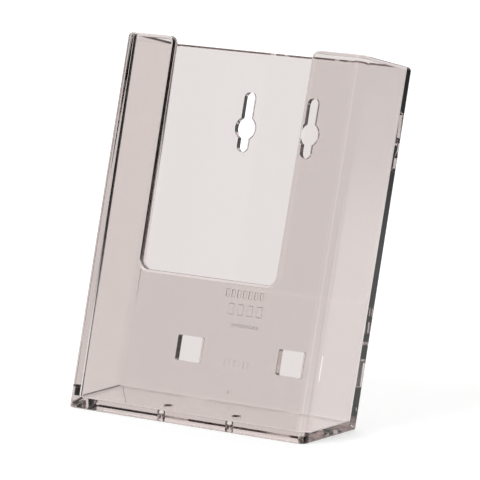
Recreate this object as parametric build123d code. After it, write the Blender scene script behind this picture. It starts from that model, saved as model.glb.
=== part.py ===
from build123d import *
import math
import os

# Clear wall-and-counter leaflet holder, moulded as one open-topped pocket. It stands on its base
# with every upright wall leaning back. X is across the holder, -Y is the front, +Z is up.
# The origin is the middle of the base's underside. Millimetres.

# Outer form
width = 117.0              # across the outside of the side walls
front_height = 152.0       # front wall, measured along the wall from the underside to the rim
pocket_depth = 34.0        # outside of the front wall to outside of the back, square to the walls
lean = 15.0                # walls lean back from upright by this many degrees
front_corner_radius = 3.5  # outer upright corners at the front
back_corner_radius = 1.5   # outer upright corners at the back, where it lies on a wall

# Wall thickness at the rim: the moulding core tapers, so the walls are thicker at the bottom
front_thickness = 2.5      # heavier than the back, which keeps the holder on its feet
side_thickness = 2.3
back_thickness = 2.1
core_draft = 0.35          # degrees
inner_corner_radius = 1.2
base_thickness = 3.4

# Thumb window, open at the rim
window_width_at_rim = 67.0
window_width_at_sill = 65.6
window_sill = 59.0         # along the wall, above the front bottom edge
sill_corner_radius = 4.0
lip_corner_radius = 3.0

# Keyholes in the back panel
keyhole_spacing = 32.0
keyhole_height = 121.0     # centre of the round part, along the wall
keyhole_diameter = 9.4
keyhole_slot_width = 4.8
keyhole_reach_up = 14.6    # from the centre of the round part to the end of the upper slot
keyhole_reach_down = 9.6

# Rectangular holes for display hooks or clips
clip_hole_spacing = 50.0
clip_hole_width = 12.0
clip_hole_height = 10.2
clip_hole_centre = 30.4    # along the wall
clip_hole_corner_radius = 0.5

# Screw holes in the base
base_hole_spacing = 33.6
base_hole_diameter = 3.6
base_hole_setback = 14.2   # behind the front bottom edge, along the base

# Where the moulding is divided into its walls
side_zone = front_corner_radius  # the side walls carry the upright corners
spare = 5.0                      # how far cutting tools run past what they cut
hair = 0.01                      # lengths closer than this are taken as the same

base_depth = pocket_depth / math.cos(math.radians(lean))


def stand_up(shape):
    """Lean an upright shape back and put the middle of the underside at the origin."""
    leaned = Rot(-lean, 0, 0) * shape
    return Pos(0, -base_depth / 2, 0) * leaned


def plan_outline():
    """Outside of the walls, cut square across them: rounder at the front than at the back."""
    outline = Pos(0, pocket_depth / 2) * Rectangle(width, pocket_depth)
    front_corners = outline.vertices().sort_by(Axis.Y)[:2]
    outline = fillet(front_corners, front_corner_radius)
    back_corners = outline.vertices().sort_by(Axis.Y)[-2:]
    return fillet(back_corners, back_corner_radius)


def core():
    """The space inside the walls: full size at the rim, tapering as it goes down."""
    opening_width = width - 2 * side_thickness
    opening_depth = pocket_depth - front_thickness - back_thickness
    opening_centre = front_thickness + opening_depth / 2
    opening = RectangleRounded(opening_width, opening_depth, inner_corner_radius)
    opening = Plane.XY.offset(front_height) * Pos(0, opening_centre) * opening
    return extrude(opening, amount=-front_height, taper=core_draft)


def above(height):
    """All the space above a level plane at this height."""
    reach = 4 * front_height
    block = Box(reach, reach, reach, align=(Align.CENTER, Align.CENTER, Align.MIN))
    return Pos(0, 0, height) * block


def wall_zone(x_low, x_high, y_low, y_high):
    """Upright block that picks one stretch of the walls out of the ring."""
    x_size = x_high - x_low
    y_size = y_high - y_low
    block = Box(x_size, y_size, 2 * front_height)
    return stand_up(Pos((x_low + x_high) / 2, (y_low + y_high) / 2, 0) * block)


def wall_hole(sketch):
    """Turn a sketch drawn on the back panel into a tool that goes through the panel."""
    on_panel = Plane.XZ.offset(-pocket_depth / 2) * sketch
    return stand_up(extrude(on_panel, amount=-(pocket_depth / 2 + spare)))


def keyhole():
    """Round opening with a slot above it and a shorter one below."""
    slot_length = keyhole_reach_up + keyhole_reach_down
    slot_centre = (keyhole_reach_up - keyhole_reach_down) / 2
    slot = Pos(0, slot_centre) * SlotOverall(slot_length, keyhole_slot_width, rotation=90)
    return Circle(keyhole_diameter / 2) + slot


def clip_hole():
    return RectangleRounded(clip_hole_width, clip_hole_height, clip_hole_corner_radius)


def front_outline():
    """The front wall seen square on: a U that is open at the rim."""
    half = width / 2
    half_rim = window_width_at_rim / 2
    half_sill = window_width_at_sill / 2
    points = [
        (-half, -spare),
        (-half, front_height),
        (-half_rim, front_height),
        (-half_sill, window_sill),
        (half_sill, window_sill),
        (half_rim, front_height),
        (half, front_height),
        (half, -spare),
    ]
    outline = make_face(Polyline(*points, close=True))
    at_rim = [v for v in outline.vertices() if abs(v.Y - front_height) < hair]
    rim_corners = [v for v in at_rim if abs(v.X) < half - hair]
    outline = fillet(rim_corners, lip_corner_radius)
    sill_corners = [v for v in outline.vertices() if abs(v.Y - window_sill) < hair]
    return fillet(sill_corners, sill_corner_radius)


def front_tool():
    """The front wall's outline as a block that reaches through the wall."""
    on_front = Plane.XZ.offset(spare) * front_outline()
    return stand_up(extrude(on_front, amount=-(spare + pocket_depth / 2)))


# The outer form standing on its base, divided into the ring of walls and the base plate
upright = extrude(plan_outline(), amount=front_height + pocket_depth)
leaning = stand_up(Pos(0, 0, -pocket_depth) * upright)
standing = leaning & above(0)
walls = (standing & above(base_thickness)) - stand_up(core())
base_plate = standing - above(base_thickness)

# Base plate with its screw holes
for side in (-1, 1):
    x = side * base_hole_spacing / 2
    y = base_hole_setback - base_depth / 2
    drill = Cylinder(base_hole_diameter / 2, 2 * base_thickness + spare)
    base_plate = base_plate - Pos(x, y, base_thickness / 2) * drill

# The walls, one by one
inner_x = width / 2 - side_zone
outer_x = width / 2 + spare
behind = pocket_depth + spare
middle = pocket_depth / 2

left_side_wall = walls & wall_zone(-outer_x, -inner_x, -spare, behind)
right_side_wall = walls & wall_zone(inner_x, outer_x, -spare, behind)
back_panel = walls & wall_zone(-inner_x, inner_x, middle, behind)
front_wall = walls & wall_zone(-inner_x, inner_x, -spare, middle) & front_tool()

for side in (-1, 1):
    back_panel = back_panel - wall_hole(Pos(side * keyhole_spacing / 2, keyhole_height) * keyhole())
    back_panel = back_panel - wall_hole(Pos(side * clip_hole_spacing / 2, clip_hole_centre) * clip_hole())

# The front wall is an apron with an upright lip at each side of the thumb window
above_sill = stand_up(above(window_sill))
front_apron = front_wall - above_sill
lips = front_wall & above_sill
left_front_lip = lips & wall_zone(-outer_x, 0, -spare, middle)
right_front_lip = lips & wall_zone(0, outer_x, -spare, middle)

nodes = {
    "base_plate": base_plate,
    "back_panel": back_panel,
    "left_side_wall": left_side_wall,
    "right_side_wall": right_side_wall,
    "front_apron": front_apron,
    "left_front_lip": left_front_lip,
    "right_front_lip": right_front_lip,
}

os.makedirs("parts", exist_ok=True)
for name, shape in nodes.items():
    export_step(shape, f"parts/{name}.step")
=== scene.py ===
import math
import bmesh
import bpy
from mathutils import Matrix, Vector


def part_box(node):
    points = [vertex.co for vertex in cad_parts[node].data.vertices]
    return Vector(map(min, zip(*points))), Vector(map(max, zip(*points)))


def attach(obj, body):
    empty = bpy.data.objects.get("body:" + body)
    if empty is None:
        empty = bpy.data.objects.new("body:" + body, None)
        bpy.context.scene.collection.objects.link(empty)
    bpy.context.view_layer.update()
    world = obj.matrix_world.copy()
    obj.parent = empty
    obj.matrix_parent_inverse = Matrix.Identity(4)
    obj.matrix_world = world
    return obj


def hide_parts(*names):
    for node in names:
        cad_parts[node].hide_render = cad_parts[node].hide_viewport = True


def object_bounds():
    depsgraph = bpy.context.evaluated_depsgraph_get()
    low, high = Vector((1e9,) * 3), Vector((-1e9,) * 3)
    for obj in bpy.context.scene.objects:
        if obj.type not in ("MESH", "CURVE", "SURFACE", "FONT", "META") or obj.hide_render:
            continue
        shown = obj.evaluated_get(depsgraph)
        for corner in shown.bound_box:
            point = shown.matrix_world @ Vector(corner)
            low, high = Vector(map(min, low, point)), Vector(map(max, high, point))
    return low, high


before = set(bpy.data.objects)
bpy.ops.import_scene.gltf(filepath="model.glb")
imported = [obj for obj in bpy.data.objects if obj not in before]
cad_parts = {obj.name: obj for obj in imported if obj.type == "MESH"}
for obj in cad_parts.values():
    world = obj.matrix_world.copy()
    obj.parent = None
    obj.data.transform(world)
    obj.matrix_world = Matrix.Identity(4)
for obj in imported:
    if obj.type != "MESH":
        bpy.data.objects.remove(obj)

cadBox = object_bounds()
metre = 0.001                          # the shell is built in millimetres, then scaled to metres

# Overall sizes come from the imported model, so the shell always fits it
lean = math.radians(15.0)
width = (cadBox[1][0] - cadBox[0][0]) / metre
baseDepth = -2 * cadBox[0][1] / metre
pocketDepth = baseDepth * math.cos(lean)
frontHeight = cadBox[1][2] / metre / math.cos(lean)
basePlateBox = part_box("base_plate")
baseThickness = (basePlateBox[1][2] - basePlateBox[0][2]) / metre

shell = {
    "frontCornerRadius": 3.5,
    "backCornerRadius": 1.5,
    "frontThickness": 2.5,               # these three are at the rim
    "sideThickness": 2.3,
    "backThickness": 2.1,
    "coreDraft": math.radians(0.35),     # the walls grow thicker towards the floor
    "innerFrontRadius": 3.0,             # upright corners inside
    "innerBackRadius": 1.2,
    "floorRadius": 0.7,                  # where the walls meet the floor inside
    "rimOuter": 1.6,                     # the rim and the window edge are rounder outside
    "rimInner": 0.4,
    "underRounding": 0.7,
    "smallestRadius": 0.1,
    "cornerSteps": 18,
    "edgeSteps": 8,
    "sharpAngle": math.radians(30.0),
    "mergeWithin": 0.0005,
}

# How far the cutting bodies run past what they cut
cutter = {
    "past": 4.0,
    "above": 5.0,
    "windowAbove": 6.0,
    "below": 2.0,
    "flareStart": math.radians(80.0),    # hole cutters cross a face at this angle
    "flarePast": 0.02,
    "flareSteps": 5,
}


def place(x, depth, up):
    # depth runs square to the walls from the front face, up runs along the walls
    y = depth * math.cos(lean) + up * math.sin(lean) - baseDepth / 2
    z = -depth * math.sin(lean) + up * math.cos(lean)
    return Vector((x, y, z))


def arc(centreX, centreY, radius, fromDeg, toDeg, steps):
    points = []
    for i in range(steps + 1):
        a = math.radians(fromDeg + (toDeg - fromDeg) * i / steps)
        points.append((centreX + radius * math.cos(a), centreY + radius * math.sin(a)))
    return points


def roundOver(radius, steps):
    # a rounded edge as pairs: how much wider the opening is, and how deep below the face
    pairs = []
    for i in range(steps + 1):
        a = math.radians(90.0 - 90.0 * i / steps)
        pairs.append((radius * (1 - math.cos(a)), radius * (1 - math.sin(a))))
    return pairs


def flare(radius, steps):
    # like roundOver, but it crosses the face at a slight angle, so holes are cut cleanly
    start = cutter["flareStart"]
    past = cutter["flarePast"]
    pairs = []
    for i in range(steps + 1):
        a = start * (1 - i / steps)
        pairs.append((radius * (1 - math.cos(a)), radius * (1 - math.sin(a))))
    wider, deep = pairs[0]
    return [(wider + (deep + past) * math.tan(start), -past)] + pairs


def solidFromLoops(name, loops):
    # loops of equal length are joined by side faces and closed by two end faces
    bm = bmesh.new()
    rings = [[bm.verts.new(p) for p in loop] for loop in loops]
    count = len(rings[0])
    for lower, upper in zip(rings, rings[1:]):
        for i in range(count):
            j = (i + 1) % count
            bm.faces.new((lower[i], lower[j], upper[j], upper[i]))
    bm.faces.new(list(reversed(rings[0])))
    bm.faces.new(rings[-1])
    bmesh.ops.recalc_face_normals(bm, faces=bm.faces)
    mesh = bpy.data.meshes.new(name)
    bm.to_mesh(mesh)
    bm.free()
    obj = bpy.data.objects.new(name, mesh)
    bpy.context.scene.collection.objects.link(obj)
    return obj


def planLoop(side, front, back, frontRadius, backRadius):
    steps = shell["cornerSteps"]
    points = arc(side - frontRadius, front + frontRadius, frontRadius, -90, 0, steps)
    points += arc(side - backRadius, back - backRadius, backRadius, 0, 90, steps)
    points += arc(-side + backRadius, back - backRadius, backRadius, 90, 180, steps)
    points += arc(-side + frontRadius, front + frontRadius, frontRadius, 180, 270, steps)
    return points


def outerLoop(inset):
    backRadius = max(shell["backCornerRadius"] - inset, shell["smallestRadius"])
    return planLoop(width / 2 - inset, inset, pocketDepth - inset,
                    shell["frontCornerRadius"] - inset, backRadius)


def innerLoop(drafted, wider):
    grow = wider - drafted
    backRadius = max(shell["innerBackRadius"] + wider, shell["smallestRadius"])
    return planLoop(width / 2 - shell["sideThickness"] + grow, shell["frontThickness"] - grow,
                    pocketDepth - shell["backThickness"] + grow,
                    shell["innerFrontRadius"] + wider, backRadius)


def draftAt(up):
    return (frontHeight - up) * math.tan(shell["coreDraft"])


def makeOuter():
    loops = []
    for inset, lift in roundOver(shell["underRounding"], shell["edgeSteps"]):
        loops.append([place(x, d, d * math.tan(lean) + lift) for x, d in outerLoop(inset)])
    for inset, drop in reversed(roundOver(shell["rimOuter"], shell["edgeSteps"])):
        loops.append([place(x, d, frontHeight - drop) for x, d in outerLoop(inset)])
    return solidFromLoops("outer", loops)


def makeCore():
    floorLift = baseThickness / math.cos(lean)
    count = len(innerLoop(0, 0))
    loops = []
    for narrower, lift in roundOver(shell["floorRadius"], shell["edgeSteps"]):
        loop = []
        for i in range(count):
            up = 0.0
            for _ in range(6):           # settles where the drafted wall meets the floor
                x, d = innerLoop(draftAt(up), -narrower)[i]
                up = d * math.tan(lean) + floorLift + lift
            loop.append(place(x, d, up))
        loops.append(loop)
    for wider, drop in reversed(roundOver(shell["rimInner"], shell["edgeSteps"])):
        level = frontHeight - drop
        loops.append([place(x, d, level) for x, d in innerLoop(draftAt(level), wider)])
    above = frontHeight + cutter["above"]
    loops.append([place(x, d, above) for x, d in innerLoop(0, shell["rimInner"])])
    return solidFromLoops("core", loops)


thumbWindow = {
    "rimWidth": 67.0,
    "sillWidth": 65.6,
    "sill": 59.0,
    "sillRadius": 4.0,
    "lipRadius": 3.0,
    "lipEnd": 91.5,                      # degrees, so the lip's curve runs just past the rim
    "steps": 16,
}


def windowOutline(wider):
    w = thumbWindow
    halfSill = w["sillWidth"] / 2
    halfRim = w["rimWidth"] / 2
    tilt = math.degrees(math.atan2(halfRim - halfSill, frontHeight - w["sill"]))
    right = arc(halfSill - w["sillRadius"], w["sill"] + w["sillRadius"],
                w["sillRadius"] + wider, -90, -tilt, w["steps"])
    right += arc(halfRim + w["lipRadius"], frontHeight - w["lipRadius"],
                 w["lipRadius"] - wider, 180 - tilt, w["lipEnd"], w["steps"])
    right.append((right[-1][0], frontHeight + cutter["windowAbove"]))
    return right + [(-x, up) for x, up in reversed(right)]


def makeWindow():
    loops = [[place(x, -cutter["past"], up) for x, up in windowOutline(shell["rimOuter"])]]
    for wider, deep in roundOver(shell["rimOuter"], shell["edgeSteps"]):
        loops.append([place(x, deep, up) for x, up in windowOutline(wider)])
    for wider, deep in reversed(roundOver(shell["rimInner"], shell["edgeSteps"])):
        loops.append([place(x, shell["frontThickness"] + draftAt(up) - deep, up)
                      for x, up in windowOutline(wider)])
    inside = windowOutline(shell["rimInner"])
    loops.append([place(x, pocketDepth / 2, up) for x, up in inside])
    return solidFromLoops("windowCutter", loops)


keyholes = {
    "spacing": 32.0,
    "height": 121.0,
    "diameter": 9.4,
    "slotWidth": 4.8,
    "reachUp": 14.6,
    "reachDown": 9.6,
    "rounding": 0.3,
    "steps": 14,
}


def keyholeOutline(side, wider):
    k = keyholes
    centreX = side * k["spacing"] / 2
    r = k["diameter"] / 2 + wider
    s = k["slotWidth"] / 2
    half = math.degrees(math.asin((s + wider) / r))
    points = arc(centreX, k["height"], r, -90 + half, 90 - half, 2 * k["steps"])
    points += arc(centreX, k["height"] + k["reachUp"] - s, s + wider, 0, 180, k["steps"])
    points += arc(centreX, k["height"], r, 90 + half, 270 - half, 2 * k["steps"])
    points += arc(centreX, k["height"] - k["reachDown"] + s, s + wider, 180, 360, k["steps"])
    return points


clipHoles = {
    "spacing": 50.0,
    "width": 12.0,
    "height": 10.2,
    "centre": 30.4,
    "cornerRadius": 0.5,
    "rounding": 0.2,
    "steps": 5,
}


def clipOutline(side, wider):
    c = clipHoles
    centreX = side * c["spacing"] / 2
    reachX = c["width"] / 2 - c["cornerRadius"]
    reachUp = c["height"] / 2 - c["cornerRadius"]
    points = []
    for cornerX, cornerUp, start in ((1, -1, -90), (1, 1, 0), (-1, 1, 90), (-1, -1, 180)):
        points += arc(centreX + cornerX * reachX, c["centre"] + cornerUp * reachUp,
                      c["cornerRadius"] + wider, start, start + 90, c["steps"])
    return points


def makeBackHole(outline, side, rounding):
    # the cutter opens out at both faces of the back panel, which rounds the hole's edges
    edge = flare(rounding, cutter["flareSteps"])
    widest = outline(side, edge[0][0])
    loops = [[place(x, pocketDepth / 2, up) for x, up in widest]]
    for wider, deep in edge:
        loops.append([place(x, pocketDepth - shell["backThickness"] - draftAt(up) + deep, up)
                      for x, up in outline(side, wider)])
    for wider, deep in reversed(edge):
        loops.append([place(x, pocketDepth - deep, up) for x, up in outline(side, wider)])
    loops.append([place(x, pocketDepth + cutter["past"], up) for x, up in widest])
    return solidFromLoops("backHoleCutter", loops)


baseHoles = {
    "spacing": 33.6,
    "diameter": 3.6,
    "setback": 14.2,
    "rounding": 0.25,
    "steps": 48,
}


def makeBaseHole(side):
    b = baseHoles
    y = b["setback"] - baseDepth / 2

    def ring(wider, z):
        points = arc(side * b["spacing"] / 2, y, b["diameter"] / 2 + wider, 0, 360, b["steps"])
        return [Vector((px, py, z)) for px, py in points[:-1]]

    edge = flare(b["rounding"], cutter["flareSteps"])
    loops = [ring(edge[0][0], -cutter["below"])]
    loops += [ring(wider, deep) for wider, deep in edge]
    loops += [ring(wider, baseThickness - deep) for wider, deep in reversed(edge)]
    loops.append(ring(edge[0][0], baseThickness + cutter["below"]))
    return solidFromLoops("baseHoleCutter", loops)


# Raised marks on the outside of the back panel: rows of small plain bars. Each row has its
# middle, how many bars and how far apart, and a bar's width and height
mouldMarks = {
    "raised": 0.3,
    "taperAcross": 0.75,                 # a bar's outer end against its foot
    "taperUp": 0.88,
    "rows": {
        "upper": {"x": -2.9, "up": 54.8, "count": 7, "pitch": 2.8, "bar": (1.8, 3.2)},
        "middle": {"x": -1.6, "up": 48.6, "count": 4, "pitch": 4.6, "bar": (3.2, 4.6)},
        "lower": {"x": -0.5, "up": 42.3, "count": 9, "pitch": 1.5, "bar": (0.9, 1.3)},
        "number": {"x": -1.8, "up": 27.2, "count": 3, "pitch": 4.6, "bar": (2.8, 2.6)},
        "dot": {"x": -3.1, "up": 15.7, "count": 1, "pitch": 2.0, "bar": (1.6, 1.6)},
    },
}


def makeMarkTree():
    # a row of bars: a line of points across, one bar standing on each
    tree = bpy.data.node_groups.new("markRow", "GeometryNodeTree")
    tree.interface.new_socket("Geometry", in_out="OUTPUT", socket_type="NodeSocketGeometry")
    tree.interface.new_socket("Geometry", in_out="INPUT", socket_type="NodeSocketGeometry")
    tree.interface.new_socket("Count", in_out="INPUT", socket_type="NodeSocketInt")
    for name in ("Pitch", "Bar Width", "Bar Depth", "Bar Height"):
        tree.interface.new_socket(name, in_out="INPUT", socket_type="NodeSocketFloat")
    tree.interface.new_socket("Material", in_out="INPUT", socket_type="NodeSocketMaterial")
    nodes = tree.nodes
    links = tree.links
    sizes = nodes.new("NodeGroupInput")
    result = nodes.new("NodeGroupOutput")
    step = nodes.new("ShaderNodeCombineXYZ")
    links.new(sizes.outputs["Pitch"], step.inputs["X"])
    line = nodes.new("GeometryNodeMeshLine")
    links.new(sizes.outputs["Count"], line.inputs["Count"])
    links.new(step.outputs["Vector"], line.inputs["Offset"])
    barSize = nodes.new("ShaderNodeCombineXYZ")
    links.new(sizes.outputs["Bar Width"], barSize.inputs["X"])
    links.new(sizes.outputs["Bar Depth"], barSize.inputs["Y"])
    links.new(sizes.outputs["Bar Height"], barSize.inputs["Z"])
    bar = nodes.new("GeometryNodeMeshCube")
    links.new(barSize.outputs["Vector"], bar.inputs["Size"])
    stand = nodes.new("GeometryNodeInstanceOnPoints")
    links.new(line.outputs["Mesh"], stand.inputs["Points"])
    links.new(bar.outputs["Mesh"], stand.inputs["Instance"])
    realize = nodes.new("GeometryNodeRealizeInstances")
    links.new(stand.outputs["Instances"], realize.inputs["Geometry"])
    finish = nodes.new("GeometryNodeSetMaterial")
    links.new(realize.outputs["Geometry"], finish.inputs["Geometry"])
    links.new(sizes.outputs["Material"], finish.inputs["Material"])
    links.new(finish.outputs["Geometry"], result.inputs["Geometry"])
    return tree


def makeMarkRow(tree, row, material):
    mesh = bpy.data.meshes.new("markRow")
    obj = bpy.data.objects.new("markRow", mesh)
    bpy.context.scene.collection.objects.link(obj)
    modifier = obj.modifiers.new("bars", "NODES")
    modifier.node_group = tree
    barWidth, barHeight = row["bar"]
    values = {"Count": row["count"], "Pitch": row["pitch"], "Bar Width": barWidth,
              "Bar Depth": 2 * mouldMarks["raised"], "Bar Height": barHeight,
              "Material": material}
    for socket in tree.interface.items_tree:
        if socket.in_out == "INPUT" and socket.name in values:
            modifier[socket.identifier] = values[socket.name]
    applyModifiers(obj)
    start = row["x"] - row["pitch"] * (row["count"] - 1) / 2
    for vertex in obj.data.vertices:
        # the outer end of a bar is a little smaller than its foot
        outer = vertex.co.y > 0
        middle = round(vertex.co.x / row["pitch"]) * row["pitch"]
        x = middle + (vertex.co.x - middle) * (mouldMarks["taperAcross"] if outer else 1.0) + start
        up = row["up"] + vertex.co.z * (mouldMarks["taperUp"] if outer else 1.0)
        vertex.co = place(x, pocketDepth + vertex.co.y, up)
    return obj


def applyModifiers(obj):
    graph = bpy.context.evaluated_depsgraph_get()
    mesh = bpy.data.meshes.new_from_object(obj.evaluated_get(graph))
    old = obj.data
    obj.modifiers.clear()
    obj.data = mesh
    bpy.data.meshes.remove(old)


def combine(target, tool, operation):
    modifier = target.modifiers.new("combine", "BOOLEAN")
    modifier.operation = operation
    modifier.solver = "EXACT"
    modifier.object = tool
    applyModifiers(target)
    bpy.data.objects.remove(tool)


def tidyNormals(obj):
    # flat faces keep their own normal right up to the rounded edges
    bm = bmesh.new()
    bm.from_mesh(obj.data)
    bmesh.ops.remove_doubles(bm, verts=bm.verts, dist=shell["mergeWithin"])
    bmesh.ops.dissolve_degenerate(bm, edges=bm.edges, dist=shell["mergeWithin"])
    bm.to_mesh(obj.data)
    bm.free()
    for polygon in obj.data.polygons:
        polygon.use_smooth = True
    obj.data.set_sharp_from_angle(angle=shell["sharpAngle"])
    weighted = obj.modifiers.new("flatFaces", "WEIGHTED_NORMAL")
    weighted.mode = "FACE_AREA"
    weighted.weight = 100
    weighted.keep_sharp = True
    applyModifiers(obj)


def describe(obj):
    bm = bmesh.new()
    bm.from_mesh(obj.data)
    loose = sum(1 for e in bm.edges if not e.is_manifold)
    print(obj.name, "vertices", len(bm.verts), "faces", len(bm.faces), "open edges", loose,
          "volume in cm3", round(bm.calc_volume() * 1e6, 2))
    bm.free()


plastic = {
    "ior": 1.59,
    "roughness": 0.0,                    # polished
    "smoke": (0.890, 0.842, 0.829),      # what one wall lets through
    "lossPerMetre": (8.0, 10.0, 10.5),   # how fast each colour fades along a wall
    "densityMargin": 1.05,               # keeps every absorption colour above black
}


def clearPlastic():
    material = bpy.data.materials.new("clearSmokyPlastic")
    material.use_nodes = True
    nodes = material.node_tree.nodes
    links = material.node_tree.links
    shader = nodes["Principled BSDF"]
    shader.inputs["Base Color"].default_value = plastic["smoke"] + (1.0,)
    shader.inputs["Roughness"].default_value = plastic["roughness"]
    shader.inputs["IOR"].default_value = plastic["ior"]
    shader.inputs["Transmission Weight"].default_value = 1.0
    loss = plastic["lossPerMetre"]
    density = max(loss) * plastic["densityMargin"]
    absorption = nodes.new("ShaderNodeVolumeAbsorption")
    absorption.inputs["Color"].default_value = tuple(1.0 - c / density for c in loss) + (1.0,)
    absorption.inputs["Density"].default_value = density
    links.new(absorption.outputs["Volume"], nodes["Material Output"].inputs["Volume"])
    return material


def makeShell():
    body = makeOuter()
    body.name = "clearShell"
    combine(body, makeCore(), "DIFFERENCE")
    combine(body, makeWindow(), "DIFFERENCE")
    for side in (-1, 1):
        combine(body, makeBackHole(keyholeOutline, side, keyholes["rounding"]), "DIFFERENCE")
        combine(body, makeBackHole(clipOutline, side, clipHoles["rounding"]), "DIFFERENCE")
        combine(body, makeBaseHole(side), "DIFFERENCE")
    material = clearPlastic()
    tree = makeMarkTree()
    for row in mouldMarks["rows"].values():
        combine(body, makeMarkRow(tree, row, material), "UNION")
    tidyNormals(body)
    body.data.transform(Matrix.Scale(metre, 4))
    body.data.materials.clear()
    body.data.materials.append(material)
    describe(body)
    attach(body, "root")
    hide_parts("base_plate", "back_panel", "left_side_wall", "right_side_wall",
                "front_apron", "left_front_lip", "right_front_lip")


makeShell()
print("shell made")

studio = {
    "floorSize": 8.0,
    "floorGrey": 0.6,
    "floorGlow": 0.60,
    "sweepColour": (1.0, 1.0, 1.0),      # what the clear plastic lets through from behind
    "sweepDrop": 0.0005,
    "ringRadius": 0.35,                  # a ring of soft cards, seen only in the plastic
    "ringHeight": 0.60,
    "ringSteps": 180,
    "ringLevels": 40,
    "ringCrowding": 1.6,                 # levels lie closer together near the floor
    "roomGrey": 0.30,
}

# Cards on the ring: each runs from start to end in degrees round the holder and from low to high
# in metres, fades over soft degrees and rise metres, and shines with the light given. Later cards
# lie on top of earlier ones
cards = [
    {"start": 128, "end": 147, "soft": 5, "low": 0.04, "high": 0.9, "rise": 0.03, "light": 0.4},
    {"start": 15, "end": 147, "soft": 5, "low": 0.10, "high": 0.9, "rise": 0.03, "light": 0.03},
    {"start": 12, "end": 33, "soft": 3, "low": 0.01, "high": 0.9, "rise": 0.01, "light": 0.03},
    {"start": 57, "end": 78, "soft": 3, "low": 0.01, "high": 0.9, "rise": 0.01, "light": 0.03},
    {"start": 102, "end": 124, "soft": 3, "low": 0.01, "high": 0.9, "rise": 0.01, "light": 0.03},
    {"start": 250, "end": 345, "soft": 5, "low": 0.06, "high": 0.29, "rise": 0.02, "light": 0.01},
    {"start": 240, "end": 262, "soft": 4, "low": 0.01, "high": 0.23, "rise": 0.01, "light": 0.01},
    {"start": 282, "end": 302, "soft": 3, "low": 0.01, "high": 0.29, "rise": 0.01, "light": 0.01},
    {"start": 327, "end": 348, "soft": 3, "low": 0.01, "high": 0.29, "rise": 0.01, "light": 0.03},
    {"start": 200, "end": 245, "soft": 6, "low": 0.23, "high": 0.9, "rise": 0.02, "light": 1.3},
]


def stagePiece(name, points, faces):
    mesh = bpy.data.meshes.new(name)
    mesh.from_pydata(points, [], faces)
    piece = bpy.data.objects.new(name, mesh)
    bpy.context.scene.collection.objects.link(piece)
    return piece


def matte(name, colour, glow, glowColour):
    material = bpy.data.materials.new(name)
    material.use_nodes = True
    shader = material.node_tree.nodes["Principled BSDF"]
    shader.inputs["Base Color"].default_value = colour + (1.0,)
    shader.inputs["Roughness"].default_value = 1.0
    shader.inputs["Specular IOR Level"].default_value = 0.0
    shader.inputs["Emission Color"].default_value = glowColour + (1.0,)
    shader.inputs["Emission Strength"].default_value = glow
    return material


def square(half, z):
    return [(-half, -half, z), (half, -half, z), (half, half, z), (-half, half, z)]


def makeFloor():
    half = studio["floorSize"] / 2
    floor = stagePiece("floor", square(half, 0), [(0, 1, 2, 3)])
    grey = studio["floorGrey"]
    pale = matte("paleFloor", (grey, grey, grey), studio["floorGlow"], (1.0, 1.0, 1.0))
    floor.data.materials.append(pale)
    floor.visible_transmission = False
    floor.visible_glossy = False
    sweep = stagePiece("sweep", square(half, -studio["sweepDrop"]), [(0, 1, 2, 3)])
    sweep.data.materials.append(matte("paleSweep", (0.0, 0.0, 0.0), 1.0, studio["sweepColour"]))
    sweep.visible_camera = False
    sweep.visible_diffuse = False
    sweep.visible_shadow = False


def ease(value, low, high):
    t = min(max((value - low) / (high - low), 0.0), 1.0)
    return t * t * (3 - 2 * t)


def within(value, low, high, soft):
    return ease(value, low - soft, low + soft) * (1 - ease(value, high - soft, high + soft))


def ringLight(degrees, z):
    light = 1.0
    for card in cards:
        part = (within(degrees, card["start"], card["end"], card["soft"])
                * within(z, card["low"], card["high"], card["rise"]))
        light += part * (card["light"] - light)
    return light


def makeRing():
    steps = studio["ringSteps"]
    levels = studio["ringLevels"]
    points = []
    shades = []
    for level in range(levels + 1):
        z = studio["ringHeight"] * (level / levels) ** studio["ringCrowding"]
        for i in range(steps):
            degrees = 360.0 * i / steps
            a = math.radians(degrees)
            points.append((math.sin(a) * studio["ringRadius"],
                           -math.cos(a) * studio["ringRadius"], z))
            light = ringLight(degrees, z)
            shades += [light * c for c in studio["sweepColour"]] + [1.0]
    faces = []
    for level in range(levels):
        for i in range(steps):
            j = (i + 1) % steps
            faces.append((level * steps + i, level * steps + j,
                          (level + 1) * steps + j, (level + 1) * steps + i))
    ring = stagePiece("lightRing", points, faces)
    shade = ring.data.attributes.new("shade", "FLOAT_COLOR", "POINT")
    shade.data.foreach_set("color", shades)
    material = matte("softCards", (0.0, 0.0, 0.0), 1.0, (1.0, 1.0, 1.0))
    nodes = material.node_tree.nodes
    reader = nodes.new("ShaderNodeAttribute")
    reader.attribute_name = "shade"
    material.node_tree.links.new(reader.outputs["Color"],
                                 nodes["Principled BSDF"].inputs["Emission Color"])
    ring.data.materials.append(material)
    ring.visible_camera = False
    ring.visible_diffuse = False
    ring.visible_shadow = False


makeFloor()
makeRing()
print("floor and light ring stand")

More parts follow.
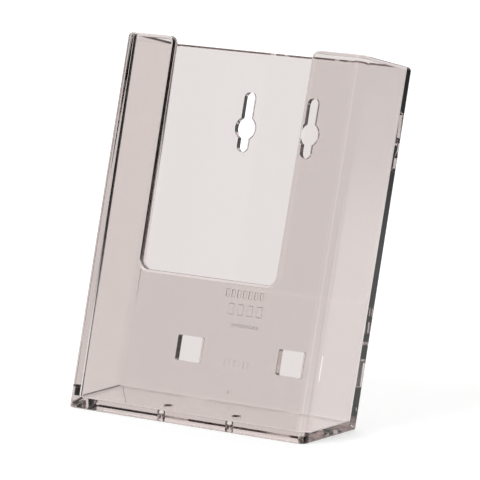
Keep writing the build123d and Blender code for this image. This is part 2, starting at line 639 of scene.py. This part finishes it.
camera = {
    "azimuth": math.radians(36.86),      # to the right of the front
    "elevation": math.radians(9.81),
    "distance": 12.0 * 0.152,
    "focus": (0.0008, 0.25 * 0.152 - 0.0176, 0.5 * 0.152),
    "aimRight": -0.00097,
    "aimUp": -0.00746,
    "lens": 346.7,
}


def makeCamera():
    c = camera
    back = Vector((math.sin(c["azimuth"]) * math.cos(c["elevation"]),
                   -math.cos(c["azimuth"]) * math.cos(c["elevation"]),
                   math.sin(c["elevation"])))
    right = Vector((0, 0, 1)).cross(back).normalized()
    up = back.cross(right)
    position = Vector(c["focus"]) + back * c["distance"]
    aim = Vector(c["focus"]) + right * c["aimRight"] + up * c["aimUp"]
    data = bpy.data.cameras.new("camera")
    data.lens = c["lens"]
    data.sensor_width = 36.0
    data.clip_start = 0.1
    data.clip_end = 50.0
    obj = bpy.data.objects.new("camera", data)
    obj.rotation_euler = (aim - position).to_track_quat("-Z", "Y").to_euler()
    obj.location = position
    bpy.context.scene.collection.objects.link(obj)
    bpy.context.scene.camera = obj


makeCamera()
print("camera placed")

lights = {
    "key": {"place": (-0.5, -0.9, 1.3), "size": 1.0, "power": 14.0},
    "back": {"place": (-0.6, 1.1, 1.2), "size": 1.2, "power": 14.0},
}
lightAim = (0.0, 0.0, 0.07)


def makeLights():
    for name, light in lights.items():
        data = bpy.data.lights.new(name, "AREA")
        data.shape = "SQUARE"
        data.size = light["size"]
        data.energy = light["power"]
        obj = bpy.data.objects.new(name, data)
        obj.location = light["place"]
        aim = Vector(lightAim) - obj.location
        obj.rotation_euler = aim.to_track_quat("-Z", "Y").to_euler()
        bpy.context.scene.collection.objects.link(obj)
    world = bpy.data.worlds.new("studio")
    bpy.context.scene.world = world
    world.use_nodes = True
    grey = studio["roomGrey"]
    background = world.node_tree.nodes["Background"]
    background.inputs["Color"].default_value = (grey, grey, grey, 1.0)
    background.inputs["Strength"].default_value = 1.0


makeLights()
scene = bpy.context.scene
scene.view_settings.view_transform = "Standard"
scene.cycles.max_bounces = 32
scene.cycles.transmission_bounces = 32
scene.cycles.glossy_bounces = 16
print("lit")
